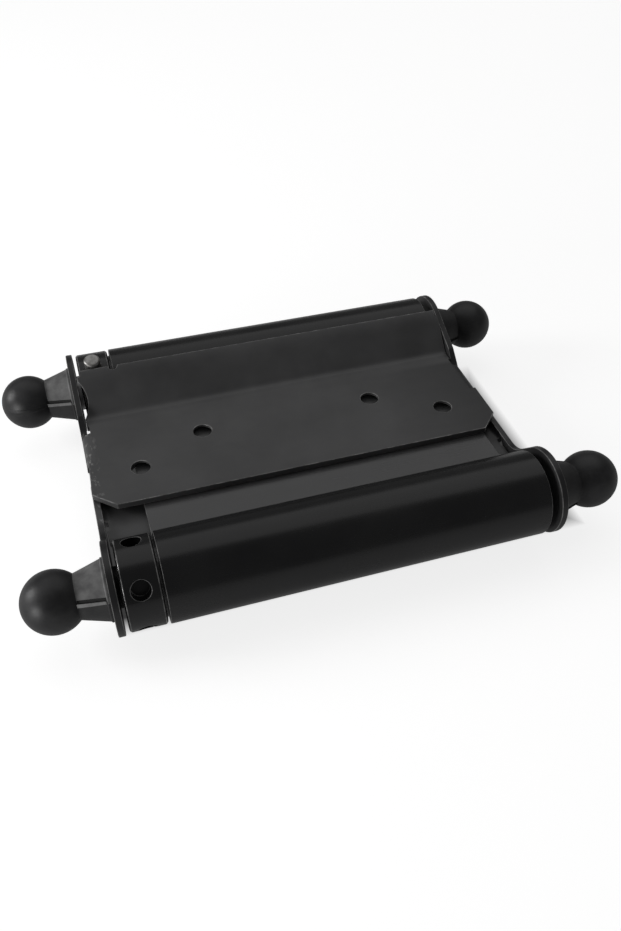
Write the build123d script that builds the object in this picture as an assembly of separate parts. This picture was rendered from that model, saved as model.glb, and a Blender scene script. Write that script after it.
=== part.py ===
"""Double-action spring hinge of folded sheet steel, closed and lying flat.

Two parallel barrels run along X. Barrel one lies at +Y and belongs to the upper leaf, barrel two lies at -Y and
belongs to the lower leaf. One sheet, the web, lies between the leaves and is rolled into both barrels: upwards
at barrel two and downwards at barrel one. The lower leaf, and all that sits on barrel two, is the upper leaf's
set turned half a turn about X. The origin is the middle of the hinge, on the web's middle plane. Angles around
barrel one are counted from its front, where the leaves lie, upwards and over the top.
"""
import os
from math import asin, cos, degrees, radians, sin, sqrt, tan

from build123d import *

# Sheet and overall sizes, in millimetres
SHEET = 1.5
LEAF_LENGTH = 100.0
AXIS_SPACING = 67.0
TUBE_RADIUS = 9.8

# Clearances
LAYER_GAP = 0.2
WALL_GAP = 0.5
RUNNING_GAP = 0.05
SPIGOT_GAP = 0.08
SEAT_GAP = 0.03
STOP_GAP = 0.06
END_GAP = 0.25
WALL_END_GAP = 0.3
EDGE_GAP = 0.4
COIL_GAP = 0.15

# Web: the sheet between the leaves and the two rolled tubes
WEB_BEND = 4.5
CURL_STOP = 8.0
STRIP_INSET = 1.6
STRIP_CORNER = 1.0

# Leaf: flat plate, and sloped wall with its free edge over the barrel
LEAF_EDGE = 12.3
FRONT_INSET = 0.6
LEAF_CHAMFER_X = 4.5
LEAF_CHAMFER_Y = 4.8
WALL_BEND = 3.75
WALL_SLOPE = 45.0
WALL_TOP = 64.0
RELIEF_LENGTH = 9.4
RELIEF_DEPTH = 1.45
ROLL_START = 50.0
ROLL_INSET = 0.7
NOTCH_RADIUS = 1.1

# Ear at each end of a leaf: folded down from the flat, then a neck that widens into a round plate
EAR_RADIUS = 10.4
EAR_FOLD = 1.75
EAR_FOLD_START = 3.0
EAR_FOLD_END = 13.8
EAR_SHOULDER_Y = 18.5
EAR_SHOULDER_ROUND = 1.0
EAR_JOIN_HIGH = 64.0
EAR_JOIN_LOW = 40.0
EAR_THROAT_ROUND = 7.0
SLIT_WIDTH = 0.8
SLIT_LENGTH = 2.6

# Screw holes in a leaf: an outer pair near the free edge and an inner pair near the wall
SCREW_RADIUS = 2.25
SINK_RADIUS = 3.1
OUTER_PAIR_INSET = 12.0
OUTER_PAIR_Y = -1.75
INNER_PAIR_INSET = 28.4
INNER_PAIR_Y = 6.8

# Spindle and thrust washers
SPINDLE_RADIUS = 3.0
SPINDLE_OVERHANG = 8.0
SPINDLE_CHAMFER = 0.5
WASHER_RADIUS = 4.4
WASHER_THICKNESS = 1.2

# Tension collar, its radial holes and the pin
COLLAR_RADIUS = 9.3
COLLAR_LENGTH = 7.35
COLLAR_GAP = 0.5
COLLAR_CHAMFER = 0.4
SPIGOT_LENGTH = 4.0
HOLE_COUNT = 5
HOLE_INSET = 3.2
PIN_RADIUS = 2.0
PIN_LENGTH = 7.6
PIN_CHAMFER = 0.35
HOLE_FLOOR = 4.6

# Torsion spring: a helix with a straight tang at each end
WIRE_RADIUS = 1.0
COIL_RADIUS = 5.8
COIL_TURNS = 5
TANG_LENGTH = 2.5

# End plug in the right end of each tube
PLUG_LENGTH = 9.0
PLUG_BOSS = 0.85
PLUG_BOSS_RADIUS = 6.0

# Moulded ball tip with a conical neck
BALL_RADIUS = 6.6
BALL_REACH = 11.2
NECK_BASE_RADIUS = 6.3
NECK_TOP_RADIUS = 3.9
NECK_FILLET = 0.8
SOCKET_SPARE = 0.5

# Places worked out from the sizes above
AXIS_Y = AXIS_SPACING / 2
EAR_OUTER = LEAF_LENGTH / 2
EAR_INNER = EAR_OUTER - SHEET
WALL_END = EAR_INNER - WALL_END_GAP
LEAF_MID_Z = SHEET + LAYER_GAP
LEAF_LOW = LEAF_MID_Z - SHEET / 2
LEAF_HIGH = LEAF_MID_Z + SHEET / 2
EAR_LOW = EDGE_GAP - LEAF_LOW
TUBE_MID_RADIUS = TUBE_RADIUS - SHEET / 2
TUBE_BORE = TUBE_RADIUS - SHEET
WALL_INNER_RADIUS = TUBE_RADIUS + WALL_GAP
WALL_MID_RADIUS = WALL_INNER_RADIUS + SHEET / 2
WALL_OUTER_RADIUS = WALL_INNER_RADIUS + SHEET
HOLE_RADIUS = PIN_RADIUS + RUNNING_GAP
PIN_ANGLE = WALL_TOP + degrees(asin((PIN_RADIUS + STOP_GAP) / WALL_INNER_RADIUS))
COLLAR_LEFT = -EAR_INNER + WASHER_THICKNESS + END_GAP
COLLAR_RIGHT = COLLAR_LEFT + COLLAR_LENGTH
HOLE_X = COLLAR_LEFT + HOLE_INSET
SPIGOT_RIGHT = COLLAR_RIGHT + SPIGOT_LENGTH
TUBE_LEFT = COLLAR_RIGHT + COLLAR_GAP
PLUG_RIGHT = EAR_INNER - WASHER_THICKNESS - END_GAP
TUBE_RIGHT = PLUG_RIGHT - PLUG_BOSS
PLUG_LEFT = TUBE_RIGHT - PLUG_LENGTH
SPINDLE_BORE = SPINDLE_RADIUS + RUNNING_GAP
SLOPE_SIN = sin(radians(WALL_SLOPE))
SLOPE_COS = cos(radians(WALL_SLOPE))
BEND_REACH = WALL_MID_RADIUS + WALL_BEND
BEND_OFFSET = (BEND_REACH - SLOPE_COS * (LEAF_MID_Z + WALL_BEND)) / SLOPE_SIN
BEND_START_Y = AXIS_Y - BEND_OFFSET
SLOPE_LENGTH = (BEND_OFFSET - BEND_REACH * SLOPE_SIN) / SLOPE_COS


def sheet_face(start, heading, moves):
    """Section of a folded sheet along its middle line. A number is a straight run, a pair is a bend's radius
    and angle. Both faces of the sheet follow the middle line at half the thickness."""
    sides = []
    for side in (1, -1):
        direction = Vector(1, 0).rotate(Axis.Z, heading)
        point = Vector(*start) + direction.rotate(Axis.Z, 90) * side * SHEET / 2
        edges = []
        for move in moves:
            if isinstance(move, tuple):
                radius, angle = move
                inward = side * SHEET / 2 if angle > 0 else -side * SHEET / 2
                edge = JernArc(point, direction, radius - inward, angle)
                direction = direction.rotate(Axis.Z, angle)
            else:
                edge = Line(point, point + direction * move)
            edges.append(edge)
            point = edge @ 1
        sides.append(edges)
    near, far = sides
    caps = [Line(near[0] @ 0, far[0] @ 0), Line(near[-1] @ 1, far[-1] @ 1)]
    return make_face(near + far + caps)


def along_x(section, left, right):
    """Solid of a Y-Z section between two places on X."""
    return Pos(left, 0, 0) * extrude(Plane.YZ * section, right - left, dir=(1, 0, 0))


def turned(*outline):
    """Solid of revolution about barrel one's axis, from (x, radius) corners."""
    return Pos(0, AXIS_Y, 0) * revolve(make_face(Polyline(*outline, close=True)), Axis.X)


def block(low, high):
    """Box between two corners."""
    size = [b - a for a, b in zip(low, high)]
    return Pos(*low) * Box(*size, align=(Align.MIN, Align.MIN, Align.MIN))


def on_barrel_two(shape):
    """The same piece on barrel two: half a turn about X."""
    return Rot(180, 0, 0) * shape


def radial_rod(x, angle, radius, inner, outer):
    """Round rod square to barrel one's axis, at an angle up from its front."""
    rod = Cylinder(radius, outer - inner, align=(Align.CENTER, Align.CENTER, Align.MIN))
    return Pos(x, AXIS_Y, 0) * Rot(90 - angle, 0, 0) * Pos(0, 0, inner) * rod


def around(angle, radius):
    """Y and Z of a point around barrel one, at an angle up from its front."""
    return AXIS_Y - radius * cos(radians(angle)), radius * sin(radians(angle))


def make_web():
    """The middle sheet, whose two edges are rolled into the tubes of the barrels."""
    reach = TUBE_MID_RADIUS + WEB_BEND
    lean = degrees(asin(WEB_BEND / reach))
    strip_end = AXIS_Y - sqrt(reach**2 - WEB_BEND**2)
    curl = 360 - lean - CURL_STOP
    stop = radians(CURL_STOP)
    start = (TUBE_MID_RADIUS * cos(stop) - AXIS_Y, -TUBE_MID_RADIUS * sin(stop))
    into_tube = [(WEB_BEND, lean - 90), (TUBE_MID_RADIUS, curl)]
    out_of_tube = [(TUBE_MID_RADIUS, -curl), (WEB_BEND, 90 - lean)]
    section = sheet_face(start, -90 - CURL_STOP, out_of_tube + [2 * strip_end] + into_tube)
    inset = block(
        (TUBE_RIGHT - STRIP_INSET, -strip_end, -SHEET),
        (TUBE_RIGHT + SHEET, strip_end, SHEET),
    )
    inset = fillet(inset.edges().filter_by(Axis.Z).group_by(Axis.X)[0], STRIP_CORNER)
    return along_x(section, TUBE_LEFT, TUBE_RIGHT) - inset


def make_ear():
    """The right ear: the fold at the flat's end, a neck below it, and a round plate on the spindle."""
    fold_x = EAR_OUTER - SHEET / 2 - EAR_FOLD
    fold_low = LEAF_MID_Z - EAR_FOLD
    heel_y, heel_z = around(-EAR_JOIN_LOW, EAR_RADIUS)
    crown_y, crown_z = around(EAR_JOIN_HIGH, EAR_RADIUS)
    throat = (heel_y - (EAR_LOW - heel_z) * tan(radians(EAR_JOIN_LOW)), EAR_LOW)
    shoulder = (EAR_SHOULDER_Y, crown_z - (crown_y - EAR_SHOULDER_Y) / tan(radians(EAR_JOIN_HIGH)))
    neck = Polyline(
        (EAR_FOLD_START, fold_low),
        (EAR_FOLD_END, fold_low),
        shoulder,
        (crown_y, crown_z),
        (heel_y, heel_z),
        throat,
        (EAR_FOLD_START, EAR_LOW),
        close=True,
    )
    outline = make_face(neck) + Pos(AXIS_Y, 0) * Circle(EAR_RADIUS)
    for corner, radius in ((throat, EAR_THROAT_ROUND), (shoulder, EAR_SHOULDER_ROUND)):
        outline = fillet(outline.vertices().sort_by_distance(corner)[0], radius)
    outline -= Pos(AXIS_Y, 0) * Circle(SPINDLE_RADIUS + SEAT_GAP)
    section = sheet_face((fold_x - SHEET, LEAF_MID_Z), 0, [SHEET, (EAR_FOLD, -90)])
    fold = extrude(Plane.XZ * section, EAR_FOLD_END - EAR_FOLD_START, dir=(0, 1, 0))
    return along_x(outline, EAR_INNER, EAR_OUTER) + Pos(0, EAR_FOLD_START, 0) * fold


def end_cuts():
    """What is cut from the right end of a plain leaf: the fold's place, slit, scallop and rolled part's gap."""
    fold_place = block(
        (EAR_OUTER - EAR_FOLD - SHEET, EAR_FOLD_START, LEAF_LOW),
        (EAR_OUTER, EAR_FOLD_END, LEAF_HIGH),
    )
    slit = block(
        (EAR_INNER - SLIT_WIDTH, EAR_FOLD_END, LEAF_LOW),
        (EAR_INNER, EAR_FOLD_END + SLIT_LENGTH, LEAF_HIGH),
    )
    relief_radius = (RELIEF_LENGTH**2 / 4 + RELIEF_DEPTH**2) / (2 * RELIEF_DEPTH)
    slope_middle = SLOPE_LENGTH / 2
    relief_y = AXIS_Y - WALL_MID_RADIUS * SLOPE_SIN - slope_middle * SLOPE_COS
    relief_z = WALL_MID_RADIUS * SLOPE_COS - slope_middle * SLOPE_SIN
    relief_place = Pos(WALL_END - RELIEF_DEPTH + relief_radius, relief_y, relief_z) * Rot(WALL_SLOPE, 0, 0)
    roll_y, roll_z = around(ROLL_START, WALL_INNER_RADIUS)
    roll_gap = block((WALL_END - ROLL_INSET, roll_y, roll_z), (EAR_OUTER, AXIS_Y, AXIS_Y))
    return fold_place + slit + relief_place * Cylinder(relief_radius, 4 * SHEET) + roll_gap


def make_leaf():
    """The upper leaf: flat plate, sloped wall with its free edge over barrel one, and two ears."""
    rise = [(WALL_BEND, WALL_SLOPE), SLOPE_LENGTH, (WALL_MID_RADIUS, 90 - WALL_SLOPE - WALL_TOP)]
    section = sheet_face((-LEAF_EDGE, LEAF_MID_Z), 0, [BEND_START_Y + LEAF_EDGE] + rise)
    leaf = along_x(section, -WALL_END, WALL_END)
    front_end = block((WALL_END, -LEAF_EDGE, LEAF_LOW), (EAR_OUTER - FRONT_INSET, EAR_FOLD_START, LEAF_HIGH))
    cuts = end_cuts()
    ear = make_ear()
    leaf = leaf + front_end - cuts + ear
    leaf = leaf + mirror(front_end, Plane.YZ) - mirror(cuts, Plane.YZ) + mirror(ear, Plane.YZ)
    front = leaf.edges().filter_by(Axis.Z).group_by(Axis.Y)[0]
    corners = front.sort_by(Axis.X)
    for corner in (corners[0], corners[-1]):
        x, y, _ = corner.center()
        inward = -1 if x > 0 else 1
        cut = make_face(
            Polyline(
                (x, y),
                (x + inward * LEAF_CHAMFER_X, y),
                (x, y + LEAF_CHAMFER_Y),
                close=True,
            )
        )
        leaf -= extrude(Pos(0, 0, LEAF_LOW) * cut, SHEET, dir=(0, 0, 1))
    sink = SINK_RADIUS - SCREW_RADIUS
    for inset, y in ((OUTER_PAIR_INSET, OUTER_PAIR_Y), (INNER_PAIR_INSET, INNER_PAIR_Y)):
        for x in (inset - EAR_OUTER, EAR_OUTER - inset):
            leaf -= Pos(x, y, LEAF_MID_Z) * Cylinder(SCREW_RADIUS, SHEET)
            leaf -= Pos(x, y, LEAF_LOW + sink / 2) * Cone(SINK_RADIUS, SCREW_RADIUS, sink)
    notch = radial_rod(TUBE_LEFT, WALL_TOP, NOTCH_RADIUS, WALL_INNER_RADIUS - SHEET, WALL_OUTER_RADIUS + SHEET)
    return leaf - notch


def make_spindle():
    """Steel rod through both ears, with a chamfered end for each ball tip."""
    end = EAR_OUTER + SPINDLE_OVERHANG
    chamfered = SPINDLE_RADIUS - SPINDLE_CHAMFER
    return turned(
        (-end, 0),
        (-end, chamfered),
        (SPINDLE_CHAMFER - end, SPINDLE_RADIUS),
        (end - SPINDLE_CHAMFER, SPINDLE_RADIUS),
        (end, chamfered),
        (end, 0),
    )


def make_washer(left):
    """Thrust washer on the spindle."""
    right = left + WASHER_THICKNESS
    bore = SPINDLE_RADIUS + SEAT_GAP
    return turned((left, bore), (left, WASHER_RADIUS), (right, WASHER_RADIUS), (right, bore))


def make_collar():
    """Tension collar: a thick ring with radial holes and a spigot that turns in the tube's end."""
    spigot = TUBE_BORE - SPIGOT_GAP
    shoulder = COLLAR_RADIUS - COLLAR_CHAMFER
    collar = turned(
        (COLLAR_LEFT, SPINDLE_BORE),
        (COLLAR_LEFT, shoulder),
        (COLLAR_LEFT + COLLAR_CHAMFER, COLLAR_RADIUS),
        (COLLAR_RIGHT - COLLAR_CHAMFER, COLLAR_RADIUS),
        (COLLAR_RIGHT, shoulder),
        (COLLAR_RIGHT, spigot),
        (SPIGOT_RIGHT, spigot),
        (SPIGOT_RIGHT, SPINDLE_BORE),
    )
    for index in range(HOLE_COUNT):
        angle = PIN_ANGLE + index * 360 / HOLE_COUNT
        collar -= radial_rod(HOLE_X, angle, HOLE_RADIUS, HOLE_FLOOR, COLLAR_RADIUS + SHEET)
    return collar - tang_seat(SPIGOT_RIGHT, -1)


def tang_seat(face_x, direction):
    """Blind hole for a spring tang, in a face square to the axis."""
    depth = TANG_LENGTH + COIL_GAP
    hole = Rot(0, 90, 0) * Cylinder(WIRE_RADIUS + COIL_GAP, depth)
    return Pos(face_x + direction * depth / 2, AXIS_Y, COIL_RADIUS) * hole


def make_pin():
    """Tension pin: a short rod in a collar hole, chamfered at both ends, against the wall's free edge."""
    pin = radial_rod(HOLE_X, PIN_ANGLE, PIN_RADIUS, HOLE_FLOOR, HOLE_FLOOR + PIN_LENGTH)
    return chamfer(pin.edges().filter_by(GeomType.CIRCLE), PIN_CHAMFER)


def make_spring():
    """Torsion spring: a round wire helix with an axial tang into the collar and one into the plug."""
    left = SPIGOT_RIGHT + WIRE_RADIUS + COIL_GAP
    right = PLUG_LEFT - WIRE_RADIUS - COIL_GAP
    length = right - left
    path = Helix(length / COIL_TURNS, length, COIL_RADIUS)
    wire = Plane(path @ 0, z_dir=path % 0) * Circle(WIRE_RADIUS)
    coil = Rot(0, 90, 0) * Rot(0, 0, 180) * sweep(wire, path)
    spring = Pos(left, AXIS_Y, 0) * coil
    for x, direction in ((left, -1), (right, 1)):
        reach = WIRE_RADIUS + COIL_GAP + TANG_LENGTH
        tang = Rot(0, 90, 0) * Cylinder(WIRE_RADIUS, reach)
        corner = Pos(x, AXIS_Y, COIL_RADIUS)
        spring += corner * Pos(direction * reach / 2, 0, 0) * tang
        spring += corner * Sphere(WIRE_RADIUS)
    return spring


def make_plug():
    """End plug: closes the tube's right end, turns on the spindle and holds the spring's far tang."""
    body = TUBE_BORE - SEAT_GAP
    plug = turned(
        (PLUG_LEFT, SPINDLE_BORE),
        (PLUG_LEFT, body),
        (TUBE_RIGHT, body),
        (TUBE_RIGHT, PLUG_BOSS_RADIUS),
        (PLUG_RIGHT, PLUG_BOSS_RADIUS),
        (PLUG_RIGHT, SPINDLE_BORE),
    )
    return plug - tang_seat(PLUG_LEFT, 1)


def make_tip():
    """Right ball tip: a conical neck that seats on the ear, a ball, and a blind socket for the spindle."""
    neck_x = BALL_REACH - sqrt(BALL_RADIUS**2 - NECK_TOP_RADIUS**2)
    socket = SPINDLE_RADIUS + SEAT_GAP
    depth = SPINDLE_OVERHANG + SOCKET_SPARE
    ball = CenterArc((BALL_REACH, 0), BALL_RADIUS, 0, degrees(asin(NECK_TOP_RADIUS / -BALL_RADIUS)) + 180)
    outline = Polyline(
        ball @ 1,
        (0, NECK_BASE_RADIUS),
        (0, socket),
        (depth, socket),
        (depth, 0),
        ball @ 0,
    )
    tip = revolve(make_face([ball, *outline.edges()]), Axis.X)
    neck = tip.edges().filter_by(GeomType.CIRCLE).sort_by(lambda e: abs(e.center().X - neck_x))[0]
    return Pos(EAR_OUTER, AXIS_Y, 0) * fillet(neck, NECK_FILLET)


def main():
    """Build every piece once for barrel one and turn it over for barrel two."""
    tip = make_tip()
    pieces = {
        "spindle": make_spindle(),
        "washer_left": make_washer(-EAR_INNER),
        "washer_right": make_washer(EAR_INNER - WASHER_THICKNESS),
        "collar": make_collar(),
        "pin": make_pin(),
        "spring": make_spring(),
        "plug": make_plug(),
        "tip_left": mirror(tip, Plane.YZ),
        "tip_right": tip,
    }
    leaf = make_leaf()
    nodes = {"web": make_web(), "leaf_upper": leaf, "leaf_lower": on_barrel_two(leaf)}
    for name, piece in pieces.items():
        kind, _, side = name.partition("_")
        for number, shape in ((1, piece), (2, on_barrel_two(piece))):
            nodes["_".join(part for part in (kind, str(number), side) if part)] = shape
    os.makedirs("parts", exist_ok=True)
    for name, shape in nodes.items():
        export_step(shape, f"parts/{name}.step")


main()
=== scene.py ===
"""Double-action spring hinge, dressed: enamelled sheet steel, bare tension pins and moulded ball tips.

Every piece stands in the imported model's frame, in metres. The two leaves, the web, the collars and the pins are
finished copies of their solids, with softened and slightly worn edges and a few points moved to fit the
photograph. The ball tips are modelled anew, with the raised line that their mould leaves.
"""

import logging
from dataclasses import dataclass, field
from enum import Enum, IntEnum
from math import cos, radians, sin, sqrt, tau
from typing import Iterable

import bpy
from mathutils import Matrix, Vector


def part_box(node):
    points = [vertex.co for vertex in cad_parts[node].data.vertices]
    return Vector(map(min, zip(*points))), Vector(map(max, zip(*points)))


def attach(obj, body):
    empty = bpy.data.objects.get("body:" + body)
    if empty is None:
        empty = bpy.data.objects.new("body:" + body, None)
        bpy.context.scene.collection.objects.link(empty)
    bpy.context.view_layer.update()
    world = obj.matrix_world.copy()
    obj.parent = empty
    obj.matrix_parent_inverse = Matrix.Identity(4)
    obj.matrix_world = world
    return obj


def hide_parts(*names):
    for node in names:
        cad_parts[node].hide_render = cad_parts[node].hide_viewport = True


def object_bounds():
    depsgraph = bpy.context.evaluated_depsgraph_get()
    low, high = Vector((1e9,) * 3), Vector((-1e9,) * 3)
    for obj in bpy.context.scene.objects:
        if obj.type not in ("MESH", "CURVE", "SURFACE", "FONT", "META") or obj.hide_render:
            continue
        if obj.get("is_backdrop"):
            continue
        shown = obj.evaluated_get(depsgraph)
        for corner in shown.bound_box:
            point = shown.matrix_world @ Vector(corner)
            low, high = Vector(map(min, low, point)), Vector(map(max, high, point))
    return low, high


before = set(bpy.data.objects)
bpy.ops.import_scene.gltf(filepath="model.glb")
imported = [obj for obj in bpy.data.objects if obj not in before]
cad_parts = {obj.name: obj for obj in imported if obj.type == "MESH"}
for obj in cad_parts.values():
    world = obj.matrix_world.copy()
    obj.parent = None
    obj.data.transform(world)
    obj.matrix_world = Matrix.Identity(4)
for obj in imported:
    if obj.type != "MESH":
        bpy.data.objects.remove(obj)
log = logging.getLogger("swing_hinge")

MM = 0.001
AXIS_Y = 33.5 * MM
SMOOTH_ANGLE = 40.0


class Side(Enum):
    """The two ends of a barrel, along X."""

    LEFT = -1
    RIGHT = 1


class Barrel(Enum):
    """The two barrels: one at the back on the upper leaf, two in front on the lower leaf."""

    ONE = 1
    TWO = 2


class Moulding(IntEnum):
    """The finishes of a ball tip, as the numbers of its material slots."""

    BALL = 0
    NECK = 1
    # The groove beside the mould line, in painted shade.
    GROOVE_SHADE = 2
    # The mould line, a painted highlight on the left tips.
    RIB = 3
    # The neck below the mould line, in painted shade.
    SHADED_UNDERSIDE = 4


class Recipe:
    """A material's nodes, added one at a time and wired by name."""

    def __init__(self, name: str) -> None:
        """Starts an empty material with a shader and an output.

        Args:
            name: The material's name.
        """
        self.material = bpy.data.materials.new(name)
        self.material.use_nodes = True
        self.tree = self.material.node_tree
        self.tree.nodes.clear()
        self.shader = self.add("ShaderNodeBsdfPrincipled")
        output = self.add("ShaderNodeOutputMaterial")
        self.wire(self.shader.outputs["BSDF"], output.inputs["Surface"])
        self.place = self.add("ShaderNodeTexCoord").outputs["Object"]

    def add(self, kind: str, **settings: object) -> bpy.types.Node:
        """Adds a node.

        Args:
            kind: The node's type name.
            settings: Its properties by name.

        Returns:
            The new node.
        """
        node = self.tree.nodes.new(kind)
        for key, value in settings.items():
            setattr(node, key, value)
        return node

    def wire(self, source: bpy.types.NodeSocket, target: bpy.types.NodeSocket) -> None:
        """Links an output to an input."""
        self.tree.links.new(source, target)

    def stretched(self, scale: tuple[float, float, float]) -> bpy.types.NodeSocket:
        """Object coordinates, scaled.

        Args:
            scale: The factor along each axis.

        Returns:
            The scaled coordinates.
        """
        mapping = self.add("ShaderNodeMapping")
        mapping.inputs["Scale"].default_value = scale
        self.wire(self.place, mapping.inputs["Vector"])
        return mapping.outputs["Vector"]

    def along(self, axis: str) -> bpy.types.NodeSocket:
        """One of the object coordinates.

        Args:
            axis: X, Y or Z.

        Returns:
            The place along that axis in metres.
        """
        parts = self.add("ShaderNodeSeparateXYZ")
        self.wire(self.place, parts.inputs["Vector"])
        return parts.outputs[axis]

    def noise(
        self,
        size: float,
        detail: float = 2.0,
        rough: float = 0.5,
        stretch: tuple[float, float, float] = (1.0, 1.0, 1.0),
    ) -> bpy.types.NodeSocket:
        """Soft random pattern.

        Args:
            size: The size of its patches in metres.
            detail: How many finer layers it has.
            rough: How strong the finer layers are.
            stretch: The factor on each axis, under one to lengthen the patches.

        Returns:
            Its value, from nought to one.
        """
        node = self.add("ShaderNodeTexNoise")
        node.inputs["Scale"].default_value = 1.0 / size
        node.inputs["Detail"].default_value = detail
        node.inputs["Roughness"].default_value = rough
        self.wire(self.stretched(stretch), node.inputs["Vector"])
        return node.outputs["Fac"]

    def ramp(
        self,
        value: bpy.types.NodeSocket,
        stops: Iterable[tuple[float, tuple[float, float, float]]],
    ) -> bpy.types.NodeSocket:
        """Turns a value into a colour.

        Args:
            value: The value.
            stops: Places from nought to one with their colours.

        Returns:
            The colour.
        """
        node = self.add("ShaderNodeValToRGB")
        elements = node.color_ramp.elements
        for index, (position, colour) in enumerate(stops):
            element = elements[index] if index < 2 else elements.new(position)
            element.position = position
            element.color = (*colour, 1.0)
        self.wire(value, node.inputs["Fac"])
        return node.outputs["Color"]

    def span(
        self,
        value: bpy.types.NodeSocket,
        low: float,
        high: float,
        start: float = 0.0,
        end: float = 1.0,
    ) -> bpy.types.NodeSocket:
        """Maps a value from one span to another, held at its ends.

        Args:
            value: The value.
            low: Where the result starts.
            high: Where the result ends.
            start: The value that gives the low result.
            end: The value that gives the high result.

        Returns:
            The mapped value.
        """
        node = self.add("ShaderNodeMapRange", clamp=True)
        self.wire(value, node.inputs["Value"])
        for key, number in (("From Min", start), ("From Max", end), ("To Min", low), ("To Max", high)):
            node.inputs[key].default_value = number
        return node.outputs["Result"]

    def maths(
        self,
        operation: str,
        first: bpy.types.NodeSocket,
        second: bpy.types.NodeSocket | float,
    ) -> bpy.types.NodeSocket:
        """Joins two values.

        Args:
            operation: The sum to do.
            first: The first value.
            second: The second value, a socket or a number.

        Returns:
            The result.
        """
        node = self.add("ShaderNodeMath", operation=operation)
        self.wire(first, node.inputs[0])
        if isinstance(second, bpy.types.NodeSocket):
            self.wire(second, node.inputs[1])
        else:
            node.inputs[1].default_value = second
        return node.outputs["Value"]

    def flip(self, share: bpy.types.NodeSocket) -> bpy.types.NodeSocket:
        """One less a share."""
        return self.span(share, 1.0, 0.0)

    def mix(
        self,
        share: bpy.types.NodeSocket,
        first: bpy.types.NodeSocket | tuple[float, float, float],
        second: bpy.types.NodeSocket | tuple[float, float, float],
    ) -> bpy.types.NodeSocket:
        """Mixes two colours.

        Args:
            share: How much of the second colour there is.
            first: The first colour, a socket or three numbers.
            second: The second colour, a socket or three numbers.

        Returns:
            The mixed colour.
        """
        node = self.add("ShaderNodeMix", data_type="RGBA")
        self.wire(share, node.inputs["Factor"])
        for socket, colour in ((node.inputs[6], first), (node.inputs[7], second)):
            if isinstance(colour, bpy.types.NodeSocket):
                self.wire(colour, socket)
            else:
                socket.default_value = (*colour, 1.0)
        return node.outputs[2]

    def bumps(self, *layers: tuple[bpy.types.NodeSocket, float, float]) -> None:
        """Presses height patterns into the surface.

        Args:
            layers: For each, the pattern, its depth in metres and its strength.
        """
        normal = None
        for pattern, depth, strength in layers:
            bump = self.add("ShaderNodeBump")
            bump.inputs["Distance"].default_value = depth
            bump.inputs["Strength"].default_value = strength
            self.wire(pattern, bump.inputs["Height"])
            if normal is not None:
                self.wire(normal, bump.inputs["Normal"])
            normal = bump.outputs["Normal"]
        if normal is not None:
            self.wire(normal, self.shader.inputs["Normal"])

    def set(self, **values: object) -> None:
        """Sets the shader's own sockets.

        Args:
            values: Socket values, with underscores for the spaces of their names.
        """
        for key, value in values.items():
            self.shader.inputs[key.replace("_", " ")].default_value = value


@dataclass(frozen=True)
class GlossEnamel:
    """Black stoving enamel on sheet steel, with faint orange peel, dust and handling haze."""

    name: str = "gloss_enamel"
    black: tuple[float, float, float] = (0.006, 0.006, 0.0065)
    haze: tuple[float, float, float] = (0.01, 0.01, 0.0105)
    dust: tuple[float, float, float] = (0.035, 0.035, 0.034)
    gloss: float = 0.2
    dull: float = 0.3
    cloud: float = 14.0 * MM
    streak: float = 1.6 * MM
    peel: float = 1.3 * MM
    speck: float = 0.32 * MM
    speck_dullness: float = 0.2

    def coat(self, recipe: Recipe, share: bpy.types.NodeSocket) -> bpy.types.NodeSocket:
        """The enamel's colour under its dust.

        Args:
            recipe: The material in the making.
            share: How hazy it is, from nought to one.

        Returns:
            The colour.
        """
        return recipe.mix(share, self.black, self.haze)

    def material(self) -> bpy.types.Material:
        """Builds the material.

        Returns:
            The enamel.
        """
        recipe = Recipe(self.name)
        cloud = recipe.noise(self.cloud, 3.0, 0.55)
        streak = recipe.noise(self.streak, 3.0, 0.6, (0.06, 1.0, 1.0))
        peel = recipe.noise(self.peel, 1.5, 0.4)
        specks = recipe.span(recipe.noise(self.speck, 2.0, 0.6), 0.0, 1.0, 0.71, 0.78)
        coat = self.coat(recipe, recipe.span(cloud, 0.0, 1.0, 0.35, 0.7))
        dusted = recipe.maths("MULTIPLY", specks, recipe.span(cloud, 0.15, 0.8, 0.4, 0.7))
        recipe.wire(recipe.mix(dusted, coat, self.dust), recipe.shader.inputs["Base Color"])
        clouded, streaked = recipe.maths("MULTIPLY", cloud, 0.6), recipe.maths("MULTIPLY", streak, 0.4)
        rough = recipe.span(recipe.maths("ADD", clouded, streaked), self.gloss, self.dull, 0.35, 0.65)
        dusty = recipe.maths("ADD", rough, recipe.maths("MULTIPLY", specks, self.speck_dullness))
        recipe.wire(dusty, recipe.shader.inputs["Roughness"])
        recipe.bumps((peel, 0.012 * MM, 0.3), (streak, 0.005 * MM, 0.15), (specks, 0.01 * MM, 0.2))
        recipe.set(IOR=1.5)
        return recipe.material


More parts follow.
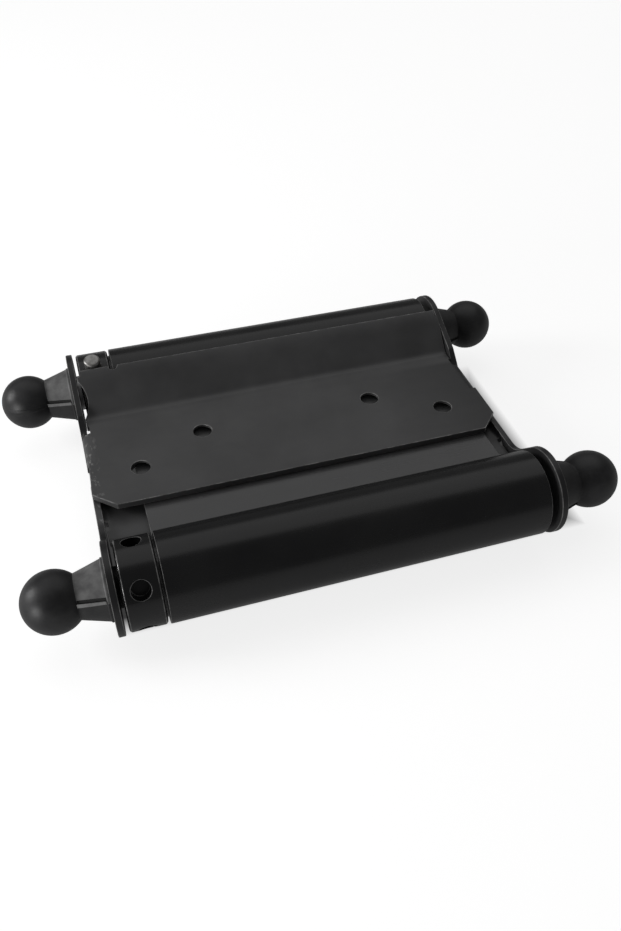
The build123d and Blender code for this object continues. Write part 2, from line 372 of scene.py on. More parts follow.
@dataclass(frozen=True)
class LeafEnamel(GlossEnamel):
    """The leaves' enamel: greyer and duller than the tubes', scuffed at the flat's left, with painted shade that
    blackens the ears and darkens the flat towards its right end.
    """

    name: str = "leaf_enamel"
    black: tuple[float, float, float] = (0.06, 0.06, 0.061)
    haze: tuple[float, float, float] = (0.085, 0.085, 0.086)
    dust: tuple[float, float, float] = (0.15, 0.149, 0.146)
    gloss: float = 0.32
    dull: float = 0.42
    # Near black of the painted shade on the ears and the flat's right end.
    painted_shade_black: tuple[float, float, float] = (0.016, 0.016, 0.017)
    scuff: tuple[float, float, float] = (0.3, 0.298, 0.292)
    scuff_size: float = 0.9 * MM
    scuff_start: float = 46.6 * MM
    scuff_share: float = 0.7
    end_start: float = 48.35 * MM
    end_fade: float = 0.3 * MM
    fold_line: float = 14.5 * MM
    fold_fade: float = 1.5 * MM
    # Where and how strongly the painted shade darkens the flat towards its right end.
    shade_start: float = 24.0 * MM
    shade_share: float = 0.75

    def coat(self, recipe: Recipe, share: bpy.types.NodeSocket) -> bpy.types.NodeSocket:
        """The enamel's colour under its dust, with painted shade on the ears and on the flat's right end, and
        scuffs at the flat's left end.
        """
        along = recipe.maths("ABSOLUTE", recipe.along("X"), 0.0)
        across = recipe.maths("ABSOLUTE", recipe.along("Y"), 0.0)
        beyond = recipe.span(across, 0.0, 1.0, self.fold_line, self.fold_line + self.fold_fade)
        outward = recipe.span(along, 0.0, 1.0, self.end_start, self.end_start + self.end_fade)
        on_ear = recipe.maths("MULTIPLY", outward, beyond)
        rubbed = recipe.span(recipe.noise(self.scuff_size, 3.0, 0.65, (1.0, 0.5, 1.0)), 0.0, 1.0, 0.56, 0.66)
        near_end = recipe.span(recipe.along("X"), self.scuff_share, 0.0, -self.end_start, -self.scuff_start)
        scuffed = recipe.maths("MULTIPLY", rubbed, recipe.maths("MULTIPLY", near_end, recipe.flip(beyond)))
        # Painted shade: the ears, beyond the folds, are turned near black.
        plain = recipe.mix(on_ear, super().coat(recipe, share), self.painted_shade_black)
        # Painted shade: the flat darkens towards its right end.
        rightward = recipe.span(recipe.along("X"), 0.0, self.shade_share, self.shade_start, self.end_start)
        darker = recipe.maths("MULTIPLY", rightward, recipe.flip(beyond))
        return recipe.mix(scuffed, recipe.mix(darker, plain, self.painted_shade_black), self.scuff)


@dataclass(frozen=True)
class WebEnamel(GlossEnamel):
    """The web's enamel: black and glossy on the tubes, greyer on the flat strip between them."""

    name: str = "web_enamel"
    strip_grey: tuple[float, float, float] = (0.085, 0.085, 0.086)
    strip_edge: float = 22.5 * MM
    tube_edge: float = 26.5 * MM

    def coat(self, recipe: Recipe, share: bpy.types.NodeSocket) -> bpy.types.NodeSocket:
        """The enamel's colour under its dust, greyer between the tubes."""
        away = recipe.maths("ABSOLUTE", recipe.along("Y"), 0.0)
        on_tube = recipe.span(away, 0.0, 1.0, self.strip_edge, self.tube_edge)
        return recipe.mix(on_tube, self.strip_grey, super().coat(recipe, share))


@dataclass(frozen=True)
class WornEdge:
    """Enamel drawn thin over a sheared edge, rubbed through to steel in places."""

    name: str = "worn_edge"
    black: tuple[float, float, float] = (0.06, 0.06, 0.06)
    steel: tuple[float, float, float] = (0.5, 0.495, 0.49)

    def material(self) -> bpy.types.Material:
        """Builds the material.

        Returns:
            The edge finish.
        """
        recipe = Recipe(self.name)
        patch = recipe.noise(2.6 * MM, 4.0, 0.65)
        rubbed = recipe.span(patch, 0.1, 0.9, 0.4, 0.75)
        grain = recipe.noise(0.25 * MM, 2.0, 0.6)
        recipe.wire(recipe.mix(rubbed, self.black, self.steel), recipe.shader.inputs["Base Color"])
        recipe.wire(recipe.maths("MULTIPLY", rubbed, 0.85), recipe.shader.inputs["Metallic"])
        recipe.wire(recipe.span(grain, 0.24, 0.42, 0.3, 0.7), recipe.shader.inputs["Roughness"])
        recipe.bumps((grain, 0.01 * MM, 0.4))
        return recipe.material


@dataclass(frozen=True)
class BareSteel:
    """Bare cut steel with turning marks, stains and a dull skin."""

    name: str = "bare_steel"
    bright: tuple[float, float, float] = (0.4, 0.395, 0.385)
    stain: tuple[float, float, float] = (0.16, 0.15, 0.14)
    smooth: float = 0.34
    matt: float = 0.55
    marks: float = 0.3 * MM

    def material(self) -> bpy.types.Material:
        """Builds the material.

        Returns:
            The steel.
        """
        recipe = Recipe(self.name)
        stain = recipe.noise(2.2 * MM, 4.0, 0.6)
        marks = recipe.noise(self.marks, 2.0, 0.5, (3.0, 0.25, 0.25))
        recipe.wire(
            recipe.mix(recipe.span(stain, 0.0, 1.0, 0.4, 0.68), self.bright, self.stain),
            recipe.shader.inputs["Base Color"],
        )
        both = recipe.maths("ADD", recipe.maths("MULTIPLY", stain, 0.5), recipe.maths("MULTIPLY", marks, 0.5))
        recipe.wire(recipe.span(both, self.smooth, self.matt, 0.35, 0.65), recipe.shader.inputs["Roughness"])
        recipe.bumps((marks, 0.02 * MM, 0.35), (stain, 0.02 * MM, 0.2))
        recipe.set(Metallic=0.9)
        return recipe.material


@dataclass(frozen=True)
class MouldedTip:
    """Satin black moulding with a faint bloom."""

    name: str = "moulded_tip"
    black: tuple[float, float, float] = (0.018, 0.018, 0.019)
    bloom: tuple[float, float, float] = (0.034, 0.034, 0.035)
    smooth: float = 0.36
    matt: float = 0.5

    def material(self) -> bpy.types.Material:
        """Builds the material.

        Returns:
            The moulding.
        """
        recipe = Recipe(self.name)
        bloom = recipe.noise(3.2 * MM, 4.0, 0.6)
        grain = recipe.noise(0.22 * MM, 2.0, 0.6)
        recipe.wire(
            recipe.mix(recipe.span(bloom, 0.0, 1.0, 0.35, 0.7), self.black, self.bloom),
            recipe.shader.inputs["Base Color"],
        )
        recipe.wire(recipe.span(bloom, self.smooth, self.matt, 0.3, 0.7), recipe.shader.inputs["Roughness"])
        recipe.bumps((grain, 0.02 * MM, 0.35), (bloom, 0.06 * MM, 0.2))
        recipe.set(IOR=1.47)
        return recipe.material


@dataclass(frozen=True)
class DustyNeck(MouldedTip):
    """The neck of the moulding: greyer, with dust and small scratches."""

    name: str = "dusty_neck"
    black: tuple[float, float, float] = (0.105, 0.105, 0.106)
    bloom: tuple[float, float, float] = (0.22, 0.22, 0.218)
    smooth: float = 0.42
    matt: float = 0.58


@dataclass(frozen=True)
class ShadedNeckUnderside(MouldedTip):
    """The neck below its mould line, darker as painted shade."""

    name: str = "neck_underside_painted_shade"
    black: tuple[float, float, float] = (0.026, 0.026, 0.027)
    bloom: tuple[float, float, float] = (0.045, 0.045, 0.045)
    smooth: float = 0.45
    matt: float = 0.6


@dataclass(frozen=True)
class RibHighlight(MouldedTip):
    """The raised line of the mould's parting, pale as a painted highlight."""

    name: str = "rib_painted_highlight"
    black: tuple[float, float, float] = (0.2, 0.2, 0.2)
    bloom: tuple[float, float, float] = (0.34, 0.34, 0.337)


@dataclass(frozen=True)
class MouldGrooveShade(MouldedTip):
    """The dark line beside the mould's parting, painted shade in its groove."""

    name: str = "mould_groove_painted_shade"
    black: tuple[float, float, float] = (0.006, 0.006, 0.006)
    bloom: tuple[float, float, float] = (0.03, 0.03, 0.029)
    smooth: float = 0.6
    matt: float = 0.8


@dataclass(frozen=True)
class Zone:
    """A box of space, in metres."""

    low: Vector
    high: Vector

    def holds(self, point: Vector) -> bool:
        """Tells whether a point lies in the box."""
        return all(a <= p <= b for a, p, b in zip(self.low, point, self.high))

    def points(self, piece: bpy.types.Object) -> list[int]:
        """Numbers of a piece's points that lie in the box."""
        return [vertex.index for vertex in piece.data.vertices if self.holds(vertex.co)]


class Workshop:
    """Moves of the hand that every piece shares."""

    @staticmethod
    def clear() -> None:
        """Deselects all objects."""
        if bpy.context.object is not None and bpy.context.object.mode != "OBJECT":
            bpy.ops.object.mode_set(mode="OBJECT")
        bpy.ops.object.select_all(action="DESELECT")

    @staticmethod
    def take(piece: bpy.types.Object) -> None:
        """Selects one object alone and makes it the active one."""
        Workshop.clear()
        piece.select_set(True)
        bpy.context.view_layer.objects.active = piece

    @staticmethod
    def edit(piece: bpy.types.Object, kind: str) -> None:
        """Opens a piece for editing with nothing selected.

        Args:
            piece: The piece.
            kind: What is then selected: VERT, EDGE or FACE.
        """
        Workshop.take(piece)
        bpy.ops.object.mode_set(mode="EDIT")
        bpy.ops.mesh.select_mode(type=kind)
        bpy.ops.mesh.select_all(action="DESELECT")

    @staticmethod
    def pick_vertices(piece: bpy.types.Object, wanted: Iterable[int]) -> None:
        """Selects vertices of the piece being edited, by number."""
        bpy.ops.object.mode_set(mode="OBJECT")
        for index in wanted:
            piece.data.vertices[index].select = True
        bpy.ops.object.mode_set(mode="EDIT")

    @staticmethod
    def pick_faces(piece: bpy.types.Object, wanted: Iterable[int]) -> None:
        """Selects faces of the piece being edited, by number."""
        bpy.ops.object.mode_set(mode="OBJECT")
        for index in wanted:
            piece.data.polygons[index].select = True
        bpy.ops.object.mode_set(mode="EDIT")

    @staticmethod
    def soften(
        piece: bpy.types.Object,
        width: float,
        angle: float,
        segments: int,
        edge_slot: int = -1,
        spared: Iterable[Zone] = (),
    ) -> None:
        """Rounds the sharp edges of a piece for good.

        Args:
            piece: The piece.
            width: The width of the rounding in metres.
            angle: Edges sharper than this many degrees are rounded.
            segments: How many steps the rounding has.
            edge_slot: The material slot of the new faces, or -1 for that of their neighbours.
            spared: Where the edges stay sharp.
        """
        Workshop.edit(piece, "EDGE")
        bpy.ops.mesh.edges_select_sharp(sharpness=radians(angle))
        bpy.ops.object.mode_set(mode="OBJECT")
        mesh = piece.data
        weights = mesh.attributes.new("bevel_weight_edge", "FLOAT", "EDGE")
        for edge in mesh.edges:
            middle = sum((mesh.vertices[index].co for index in edge.vertices), Vector()) / 2
            if edge.select and not any(zone.holds(middle) for zone in spared):
                weights.data[edge.index].value = 1.0
        bevel = piece.modifiers.new("softened_edges", "BEVEL")
        bevel.width = width
        bevel.segments = segments
        bevel.limit_method = "WEIGHT"
        bevel.use_clamp_overlap = False
        bevel.material = edge_slot
        bpy.ops.object.modifier_apply(modifier=bevel.name)
        bpy.ops.object.shade_smooth_by_angle(angle=radians(SMOOTH_ANGLE))
        weighted = piece.modifiers.new("even_normals", "WEIGHTED_NORMAL")
        weighted.keep_sharp = True
        bpy.ops.object.modifier_apply(modifier=weighted.name)

    @staticmethod
    def report(piece: bpy.types.Object) -> None:
        """Logs a finished piece."""
        log.info("%s: %d faces", piece.name, len(piece.data.polygons))


class Shaping:
    """A change to some points of a piece, made before its edges are softened."""

    def points(self, piece: bpy.types.Object) -> list[int]:
        """Numbers of the points that it changes."""
        raise NotImplementedError

    def move(self) -> None:
        """Changes the selected points."""
        raise NotImplementedError

    def apply(self, piece: bpy.types.Object) -> None:
        """Changes a piece."""
        chosen = self.points(piece)
        Workshop.edit(piece, "VERT")
        Workshop.pick_vertices(piece, chosen)
        self.move()
        bpy.ops.object.mode_set(mode="OBJECT")


@dataclass(frozen=True)
class Swell(Shaping):
    """A new radius, and a shift along X, for the points of a piece at one radius round a barrel's axis."""

    axis_y: float
    radius: float
    new_radius: float
    beyond_x: float = 0.0
    shift: float = 0.0
    tolerance: float = 0.02 * MM

    def points(self, piece: bpy.types.Object) -> list[int]:
        """Numbers of the points at the radius, far enough out along X."""
        chosen = []
        for vertex in piece.data.vertices:
            radius = sqrt((vertex.co.y - self.axis_y) ** 2 + vertex.co.z**2)
            if abs(radius - self.radius) < self.tolerance and abs(vertex.co.x) > self.beyond_x:
                chosen.append(vertex.index)
        return chosen

    def move(self) -> None:
        """Scales the points about the axis, then shifts them."""
        factor = self.new_radius / self.radius
        bpy.ops.transform.resize(value=(1.0, factor, factor), center_override=(0.0, self.axis_y, 0.0))
        bpy.ops.transform.translate(value=(self.shift, 0.0, 0.0))


@dataclass(frozen=True)
class Reach(Shaping):
    """A box of space whose points are moved along X."""

    zone: Zone
    shift: float

    def points(self, piece: bpy.types.Object) -> list[int]:
        """Numbers of the points in the box."""
        return self.zone.points(piece)

    def move(self) -> None:
        """Shifts the points."""
        bpy.ops.transform.translate(value=(self.shift, 0.0, 0.0))


@dataclass(frozen=True)
class Squared(Shaping):
    """A box of space whose points are brought to one place along X, so that an edge there runs straight."""

    zone: Zone
    place: float

    def points(self, piece: bpy.types.Object) -> list[int]:
        """Numbers of the points in the box."""
        return self.zone.points(piece)

    def move(self) -> None:
        """Brings the points to the place."""
        bpy.ops.transform.resize(value=(0.0, 1.0, 1.0), center_override=(self.place, 0.0, 0.0))


@dataclass
class SheetPart:
    """A piece of sheet or bar whose solid has the right shape: a copy of it, merged, softened and dressed."""

    node: str
    body: str
    slot: str
    finishes: list[bpy.types.Material]
    spared: list[Zone] = field(default_factory=list)
    shapings: list[Shaping] = field(default_factory=list)
    softening: float = 0.12 * MM
    sharper_than: float = 32.0
    steps: int = 2
    weld: float = 0.001 * MM
    flatter_than: float = 0.4

    def build(self) -> bpy.types.Object:
        """Makes the finished copy.

        Returns:
            The piece, which stands for its node.
        """
        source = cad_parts[self.node]
        piece = bpy.data.objects.new(f"{self.node}_finished", source.data.copy())
        bpy.context.scene.collection.objects.link(piece)
        Workshop.edit(piece, "VERT")
        bpy.ops.mesh.select_all(action="SELECT")
        bpy.ops.mesh.customdata_custom_splitnormals_clear()
        bpy.ops.mesh.remove_doubles(threshold=self.weld)
        bpy.ops.mesh.dissolve_limited(angle_limit=radians(self.flatter_than))
        bpy.ops.object.mode_set(mode="OBJECT")
        for shaping in self.shapings:
            shaping.apply(piece)
        piece.data.materials.clear()
        for finish in self.finishes:
            piece.data.materials.append(finish)
        edge_slot = len(self.finishes) - 1
        Workshop.soften(piece, self.softening, self.sharper_than, self.steps, edge_slot, self.spared)
        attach(piece, self.body)
        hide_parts(self.node)
        Workshop.report(piece)
        return piece


@dataclass
class BallTip:
    """A moulded ball on a conical neck, with the raised line of its mould and a groove beside it in painted shade.
    """

    barrel: Barrel
    side: Side
    turn: float
    plastic: list[bpy.types.Material]
    line_on_ball: bool = False
    ball: float = 6.7 * MM
    reach: float = 11.1 * MM
    neck_base: float = 6.8 * MM
    neck_top: float = 4.85 * MM
    rim: float = 0.6 * MM
    rim_step: float = 0.25 * MM
    socket: float = 3.03 * MM
    socket_depth: float = 8.5 * MM
    rib: float = 0.4 * MM
    rib_height: float = 0.35 * MM
    faint_height: float = 0.1 * MM
    groove: float = 0.6 * MM
    groove_depth: float = 0.14 * MM
    ball_line_start: float = -5.0 * MM
    end_facing: float = 0.97
    weld: float = 0.002 * MM
    softening: float = 0.08 * MM
    sharper_than: float = 30.0
    arc_steps: int = 96
    turn_steps: int = 72
    centre: Vector = field(init=False)

    def __post_init__(self) -> None:
        """Finds the ball's middle from its node's box."""
        low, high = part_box(self.node)
        outer = high.x if self.side is Side.RIGHT else low.x
        self.centre = Vector((outer - self.side.value * self.ball, (low.y + high.y) / 2, (low.z + high.z) / 2))

    @property
    def node(self) -> str:
        """The node that this tip stands for."""
        return f"tip_{self.barrel.value}_{self.side.name.lower()}"

    def outline(self) -> bpy.types.Object:
        """Draws half of the section, from the ball's pole along the neck into the socket.

        Returns:
            An object with the open line, in the plane of the barrel's axis and Y.
        """
        Workshop.clear()
        bpy.ops.mesh.primitive_circle_add(vertices=self.arc_steps, radius=self.ball, location=self.centre)
        piece = bpy.context.object
        piece.name = f"{self.node}_moulding"
        bpy.ops.object.transform_apply(location=True, rotation=True, scale=True)
        into = -self.side.value
        neck_x = self.centre.x + into * self.neck_start
        Workshop.edit(piece, "VERT")
        spare = [
            v.index
            for v in piece.data.vertices
            if v.co.y < self.centre.y - 1e-6 or (v.co.x - neck_x) * into > -0.05 * MM
        ]
        Workshop.pick_vertices(piece, spare)
        bpy.ops.mesh.delete(type="VERT")
        bpy.ops.object.mode_set(mode="OBJECT")
        last = max(piece.data.vertices, key=lambda v: (v.co.x - self.centre.x) * into)
        ear = self.centre.x + into * self.reach
        end = ear - into * self.socket_depth
        here = last.co.copy()
        Workshop.edit(piece, "VERT")
        Workshop.pick_vertices(piece, [last.index])
        run = [
            (neck_x, self.neck_top),
            (ear - into * (self.rim + self.rim_step / 2), self.neck_base - self.rim_step),
            (ear - into * self.rim, self.neck_base),
            (ear, self.neck_base),
            (ear, self.socket),
            (end, self.socket),
            (end, 0.0),
        ]
        for x, radius in run:
            target = Vector((x, self.centre.y + radius, self.centre.z))
            bpy.ops.mesh.extrude_region_move(TRANSFORM_OT_translate={"value": target - here})
            here = target
        return piece

    def body_of_revolution(self, piece: bpy.types.Object) -> None:
        """Spins the open line round the barrel's axis and closes it."""
        bpy.ops.mesh.select_all(action="SELECT")
        bpy.ops.mesh.spin(steps=self.turn_steps, angle=tau, center=self.centre, axis=(1.0, 0.0, 0.0))
        bpy.ops.mesh.select_all(action="SELECT")
        bpy.ops.mesh.remove_doubles(threshold=self.weld)
        bpy.ops.mesh.normals_make_consistent(inside=False)

    def across(self) -> Vector:
        """Direction square to the mould's parting plane."""
        return Vector((0.0, sin(radians(self.turn)), cos(radians(self.turn))))

    @property
    def neck_start(self) -> float:
        """How far inward of the ball's middle the neck begins."""
        return sqrt(self.ball**2 - self.neck_top**2)

    def strip(self, piece: bpy.types.Object, across: tuple[float, float], along: tuple[float, float]) -> list[int]:
        """Numbers of the outer faces in a strip beside the parting plane.

        Args:
            piece: The tip.
            across: The strip's two edges, as distances from the parting plane.
            along: Its two ends, as distances inward from the ball's middle.

        Returns:
            The faces' numbers.
        """
        square = self.across()
        into = -self.side.value
        chosen = []
        for face in piece.data.polygons:
            offset = face.center - self.centre
            radius = sqrt(offset.y**2 + offset.z**2)
            outside = radius > self.socket + 0.5 * MM and abs(face.normal.x) < self.end_facing
            if outside and along[0] < offset.x * into < along[1] and across[0] < offset.dot(square) < across[1]:
                chosen.append(face.index)
        return chosen

    def mould_line(self, piece: bpy.types.Object) -> None:
        """Raises the parting line, high on the neck and faint on the ball, and sinks a groove above it that carries
        painted shade.
        """
        across = self.across()
        for offset in (-self.rib, self.rib, self.rib + self.groove):
            bpy.ops.mesh.select_all(action="SELECT")
            bpy.ops.mesh.bisect(plane_co=self.centre + across * offset, plane_no=across)
        neck = (self.neck_start, self.reach - self.rim - self.rim_step / 2)
        crest = (-self.rib, self.rib)
        beside = (self.rib, self.rib + self.groove)
        bands = [(crest, neck, self.rib_height, Moulding.RIB), (beside, neck, -self.groove_depth, Moulding.GROOVE_SHADE)]
        if self.line_on_ball:
            bands.append((crest, (self.ball_line_start, self.neck_start), self.faint_height, None))
        for band, length, height, slot in bands:
            bpy.ops.object.mode_set(mode="OBJECT")
            chosen = self.strip(piece, band, length)
            Workshop.edit(piece, "FACE")
            Workshop.pick_faces(piece, chosen)
            bpy.ops.mesh.extrude_region_shrink_fatten(
                MESH_OT_extrude_region={"use_normal_flip": False},
                TRANSFORM_OT_shrink_fatten={"value": height},
            )
            if slot is not None:
                bpy.ops.object.mode_set(mode="OBJECT")
                for face in piece.data.polygons:
                    if face.select:
                        face.material_index = slot
                bpy.ops.object.mode_set(mode="EDIT")

    def paint(self, piece: bpy.types.Object) -> None:
        """Gives the neck its own finishes, up to the ball: dusty above the mould line, painted shade below it."""
        into = -self.side.value
        across = self.across()
        for face in piece.data.polygons:
            offset = face.center - self.centre
            if face.material_index == Moulding.BALL and offset.x * into > self.neck_start:
                # Below the mould line the neck takes the painted-shade finish.
                above = offset.dot(across) > -self.rib
                face.material_index = Moulding.NECK if above else Moulding.SHADED_UNDERSIDE

    def build(self) -> bpy.types.Object:
        """Models the tip.

        Returns:
            The piece, which stands for its node.
        """
        piece = self.outline()
        for finish in self.plastic:
            piece.data.materials.append(finish)
        self.body_of_revolution(piece)
        self.mould_line(piece)
        bpy.ops.object.mode_set(mode="OBJECT")
        self.paint(piece)
        Workshop.soften(piece, self.softening, self.sharper_than, 2)
        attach(piece, "upper_leaf" if self.barrel is Barrel.ONE else "lower_leaf")
        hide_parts(self.node)
        Workshop.report(piece)
        return piece


@dataclass
class Leaves:
    """The two folded leaves and the web between them."""

    leaf_enamel: bpy.types.Material
    web_enamel: bpy.types.Material
    edge: bpy.types.Material
    fold_reach: tuple[float, float] = (46.0 * MM, 50.2 * MM)
    fold_start: tuple[float, float] = (2.6 * MM, 3.4 * MM)
    fold_end: tuple[float, float] = (13.4 * MM, 16.8 * MM)
    fold_depth: float = 5.0 * MM
    solid_ear_radius: float = 10.4 * MM
    ear_radius: float = 10.05 * MM
    ear_start: float = 48.0 * MM
    flat_left: tuple[float, float] = (-50.0 * MM, -49.2 * MM)
    flat_span: tuple[float, float] = (-13.0 * MM, 2.9 * MM)
    flat_depth: float = 3.0 * MM
    end_shift: float = -0.58 * MM
    wall_end: float = 48.2 * MM
    relief_depth: float = 1.5 * MM
    relief_span: tuple[float, float] = (19.4 * MM, 26.6 * MM)
    relief_height: tuple[float, float] = (1.7 * MM, 9.0 * MM)
    softening: float = 0.16 * MM

    def fold_ends(self, side: int) -> list[Zone]:
        """Where an ear's fold starts and ends beside its slit, at both ends of a leaf.

        Args:
            side: 1 for the upper leaf, -1 for the lower one.

        Returns:
            The four places.
        """
        zones = []
        for end in (-1, 1):
            across = sorted(end * reach for reach in self.fold_reach)
            for span in (self.fold_start, self.fold_end):
                along = sorted(side * place for place in span)
                low = Vector((across[0], along[0], -self.fold_depth))
                zones.append(Zone(low, Vector((across[1], along[1], self.fold_depth))))
        return zones

    def wall_relief(self, side: int) -> Zone:
        """The hollow in the right end of a leaf's wall, which the photograph shows only at the left."""
        across = sorted(side * place for place in self.relief_span)
        height = sorted(side * place for place in self.relief_height)
        low = Vector((self.wall_end - self.relief_depth, across[0], height[0]))
        return Zone(low, Vector((self.wall_end - 0.01 * MM, across[1], height[1])))

    def flat_end(self, side: int) -> Zone:
        """The left end of a leaf's flat, short of the ear's fold."""
        across = sorted(side * place for place in self.flat_span)
        low = Vector((self.flat_left[0], across[0], -self.flat_depth))
        return Zone(low, Vector((self.flat_left[1], across[1], self.flat_depth)))

    def build(self) -> None:
        """Finishes the three sheets."""
        for node, body, side in (("leaf_upper", "upper_leaf", 1), ("leaf_lower", "lower_leaf", -1)):
            shapings = [
                Swell(side * AXIS_Y, self.solid_ear_radius, self.ear_radius, self.ear_start),
                Reach(self.flat_end(side), self.end_shift),
                Squared(self.wall_relief(side), self.wall_end),
            ]
            finishes = [self.leaf_enamel, self.edge]
            SheetPart(node, body, "leaf_paint", finishes, self.fold_ends(side), shapings, self.softening).build()
        SheetPart("web", "centre_web", "web_paint", [self.web_enamel, self.edge]).build()


@dataclass
class SpringBarrel:
    """What sits on one barrel: collar, pin, spindle, washers, plug, spring and the two tips."""

    number: Barrel
    enamel: bpy.types.Material
    edge: bpy.types.Material
    steel: bpy.types.Material
    dark_steel: bpy.types.Material
    washer: bpy.types.Material
    plastic: dict[Side, list[bpy.types.Material]]
    mould_turns: dict[Side, float]
    collar_radius: float = 9.3 * MM
    chamfer_radius: float = 8.9 * MM
    collar_swell: float = 0.35 * MM
    collar_front: float = 46.2 * MM
    front_shift: float = -0.6 * MM

    def leaf_body(self) -> str:
        """The body of the leaf that this barrel belongs to."""
        return "upper_leaf" if self.number is Barrel.ONE else "lower_leaf"

    def dress(self, node: str, finish: bpy.types.Material) -> None:
        """Gives a solid that stays its finish.

        Args:
            node: The solid's name.
            finish: Its material.
        """
        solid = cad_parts[node]
        solid.data.materials.clear()
        solid.data.materials.append(finish)
        log.info("%s dressed in %s", node, finish.name)

    def build(self) -> None:
        """Finishes the barrel's pieces."""
        n = self.number.value
        axis_y = AXIS_Y if self.number is Barrel.ONE else -AXIS_Y
        swells = []
        for radius in (self.collar_radius, self.chamfer_radius):
            wide = radius + self.collar_swell
            swells += [Swell(axis_y, radius, wide), Swell(axis_y, wide, wide, self.collar_front, self.front_shift)]
        finishes = [self.enamel, self.edge]
        SheetPart(f"collar_{n}", f"collar_{n}", "collar_steel", finishes, shapings=swells).build()
        SheetPart(f"pin_{n}", f"pin_{n}", "pin_steel", [self.steel]).build()
        for node in (f"spindle_{n}", f"washer_{n}_right", f"spring_{n}"):
            self.dress(node, self.dark_steel)
        # The left washer takes its barrel's finish: painted light on barrel one, dark oiled steel on barrel two.
        self.dress(f"washer_{n}_left", self.washer)
        self.dress(f"plug_{n}", self.enamel)
        for side in Side:
            line_on_ball = self.number is Barrel.ONE and side is Side.LEFT
            BallTip(self.number, side, self.mould_turns[side], self.plastic[side], line_on_ball).build()


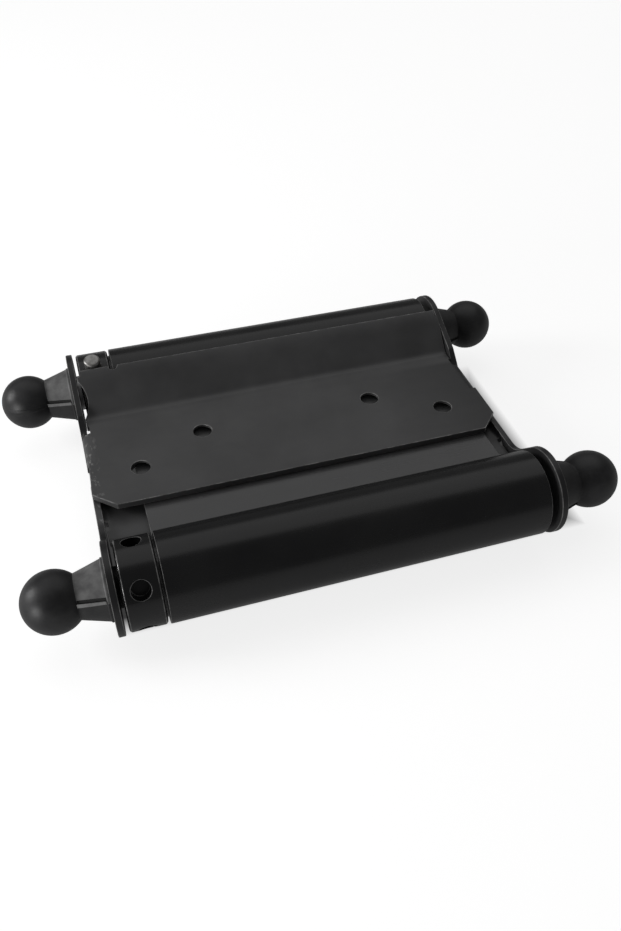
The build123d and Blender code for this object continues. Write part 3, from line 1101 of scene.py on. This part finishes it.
@dataclass
class Studio:
    """Pale floor, soft light and the camera."""

    target: Vector = field(default_factory=lambda: Vector((0.554, -10.224, 0.0)) * MM)
    azimuth: float = -17.902
    elevation: float = 43.110
    roll: float = 0.603
    distance: float = 202.70 * MM
    focal_px: float = 855.95
    image_height: int = 931
    sensor: float = 36.0
    floor_gap: float = 0.05 * MM
    floor_size: float = 6.0
    glow: tuple[float, float, float] = (0.8, 0.8, 0.8)
    glow_on_hinge: float = 0.15
    # Colour and glow of the paper inside its painted shadow, and the box of that shadow:
    shaded_glow: tuple[float, float, float] = (0.03, 0.03, 0.03)
    shaded_paper: tuple[float, float, float] = (0.05, 0.05, 0.05)
    shade_left: tuple[float, float] = (-50.4 * MM, -49.4 * MM)
    shade_right: tuple[float, float] = (57.0 * MM, 62.0 * MM)
    shade_front: tuple[float, float] = (-37.0 * MM, -32.0 * MM)
    shade_back: tuple[float, float] = (16.0 * MM, 30.0 * MM)
    room_light: float = 0.12

    def camera(self) -> None:
        """Sets the camera at the photograph's place."""
        azimuth, elevation, roll = (radians(v) for v in (self.azimuth, self.elevation, self.roll))
        back = Vector((sin(azimuth) * cos(elevation), -cos(azimuth) * cos(elevation), sin(elevation)))
        right = Vector((0.0, 0.0, 1.0)).cross(back).normalized()
        up = back.cross(right)
        level, tilt = right * cos(roll) + up * sin(roll), up * cos(roll) - right * sin(roll)
        data = bpy.data.cameras.new("portrait_camera")
        data.sensor_width = self.sensor
        data.lens = self.focal_px * self.sensor / self.image_height
        data.clip_start, data.clip_end = 0.01, 20.0
        camera = bpy.data.objects.new("portrait_camera", data)
        bpy.context.scene.collection.objects.link(camera)
        turn = Matrix((level, tilt, back)).transposed().to_4x4()
        camera.matrix_world = Matrix.Translation(self.target + back * self.distance) @ turn
        bpy.context.scene.camera = camera
        bpy.context.scene.view_settings.view_transform = "Standard"

    def floor(self) -> None:
        """Lays the pale floor under the lowest point."""
        low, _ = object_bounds()
        Workshop.clear()
        bpy.ops.mesh.primitive_plane_add(size=self.floor_size, location=(0.0, 0.0, low.z - self.floor_gap))
        floor = bpy.context.object
        floor.name = "studio_floor"
        bpy.ops.object.transform_apply(location=True, rotation=True, scale=True)
        floor.data.materials.append(self.paper())
        floor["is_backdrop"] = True

    def paper(self) -> bpy.types.Material:
        """Makes the floor's white paper, which gives off light, with a painted shadow under the hinge where it is
        dark and barely glows.

        Returns:
            The material.
        """
        recipe = Recipe("studio_paper")
        tone = recipe.noise(0.4, 2.0, 0.5)
        shade = recipe.ramp(tone, ((0.3, (0.5, 0.5, 0.5)), (0.7, (0.52, 0.52, 0.52))))
        left = recipe.span(recipe.along("X"), 1.0, 0.0, *self.shade_left)
        right = recipe.span(recipe.along("X"), 0.0, 1.0, *self.shade_right)
        front = recipe.span(recipe.along("Y"), 1.0, 0.0, *self.shade_front)
        back = recipe.span(recipe.along("Y"), 0.0, 1.0, *self.shade_back)
        # clear is nought in the painted shadow under the hinge and one outside it.
        clear = recipe.maths("MAXIMUM", recipe.maths("MAXIMUM", left, right), recipe.maths("MAXIMUM", front, back))
        recipe.wire(recipe.mix(clear, self.shaded_paper, shade), recipe.shader.inputs["Base Color"])
        seen = recipe.maths("MULTIPLY", clear, self.seen_glow(recipe))
        recipe.wire(recipe.mix(seen, self.shaded_glow, self.glow), recipe.shader.inputs["Emission Color"])
        recipe.set(Roughness=0.9, Specular_IOR_Level=0.1, Emission_Strength=1.0)
        return recipe.material

    def seen_glow(self, recipe: Recipe) -> bpy.types.NodeSocket:
        """The share of the paper's glow that falls on the camera, full, or on the hinge, a part."""
        to_camera = recipe.add("ShaderNodeLightPath").outputs["Is Camera Ray"]
        return recipe.span(to_camera, self.glow_on_hinge, 1.0)

    def lamp(self, name: str, place: tuple[float, float, float], size: tuple[float, float], watts: float) -> None:
        """Hangs a soft rectangular lamp that faces the hinge.

        Args:
            name: The lamp's name.
            place: Where it hangs, in metres.
            size: Its width and height in metres.
            watts: Its power.
        """
        data = bpy.data.lights.new(name, "AREA")
        data.shape = "RECTANGLE"
        data.size, data.size_y = size
        data.energy = watts
        lamp = bpy.data.objects.new(name, data)
        bpy.context.scene.collection.objects.link(lamp)
        facing = (-Vector(place)).to_track_quat("-Z", "Y").to_matrix().to_4x4()
        lamp.matrix_world = Matrix.Translation(place) @ facing

    def sky(self, strength: float) -> None:
        """Fills the room with an even pale light.

        Args:
            strength: The light's strength.
        """
        world = bpy.data.worlds.new("studio_room")
        bpy.context.scene.world = world
        world.use_nodes = True
        background = world.node_tree.nodes["Background"]
        background.inputs["Color"].default_value = (1.0, 1.0, 1.0, 1.0)
        background.inputs["Strength"].default_value = strength

    def build(self) -> None:
        """Sets the whole stage."""
        self.floor()
        self.lamp("back_window", (0.1, 0.47, 0.88), (1.5, 1.0), 2.2)
        self.lamp("left_pane_high", (-0.46, 0.12, 0.2), (0.16, 0.2), 0.85)
        self.lamp("left_pane_low", (-0.48, -0.26, 0.06), (0.16, 0.16), 0.85)
        self.sky(self.room_light)


def main() -> None:
    """Builds the hinge in order."""
    logging.basicConfig(level=logging.INFO, format="%(name)s: %(message)s")
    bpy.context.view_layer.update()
    studio = Studio()
    studio.camera()
    enamel = GlossEnamel().material()
    leaf_enamel = LeafEnamel().material()
    web_enamel = WebEnamel().material()
    edge = WornEdge().material()
    steel = BareSteel().material()
    # A bright zinc-coloured finish, painted light for the lit gap beside barrel one's left ear.
    painted_light_washer = BareSteel("washer_painted_light", (0.78, 0.78, 0.79), (0.62, 0.62, 0.62)).material()
    dark_steel = BareSteel("oiled_steel", (0.03, 0.03, 0.031), (0.015, 0.015, 0.015), 0.45, 0.65).material()
    ball, neck, groove_shade, rib, shaded_underside = (
        finish.material() for finish in (MouldedTip(), DustyNeck(), MouldGrooveShade(), RibHighlight(), ShadedNeckUnderside())
    )
    # Left tips: dusty neck above the mould line, painted shade below it and in its groove, painted highlight on its
    # rib. Right tips: painted shade on the neck, rib and groove, and the ball's own black below the mould line.
    plastic = {
        Side.LEFT: [ball, neck, groove_shade, rib, shaded_underside],
        Side.RIGHT: [ball, shaded_underside, groove_shade, shaded_underside, ball],
    }
    Leaves(leaf_enamel, web_enamel, edge).build()
    turns = {
        Barrel.ONE: {Side.LEFT: 17.5, Side.RIGHT: -12.0},
        Barrel.TWO: {Side.LEFT: 28.0, Side.RIGHT: -35.0},
    }
    # Barrel one's left washer is painted light for the lit gap beside its ear; barrel two's keeps the dark oiled
    # finish of the other hidden steel.
    washers = {Barrel.ONE: painted_light_washer, Barrel.TWO: dark_steel}
    for number in Barrel:
        SpringBarrel(number, enamel, edge, steel, dark_steel, washers[number], plastic, turns[number]).build()
    studio.build()


if __name__ == "__main__":
    main()
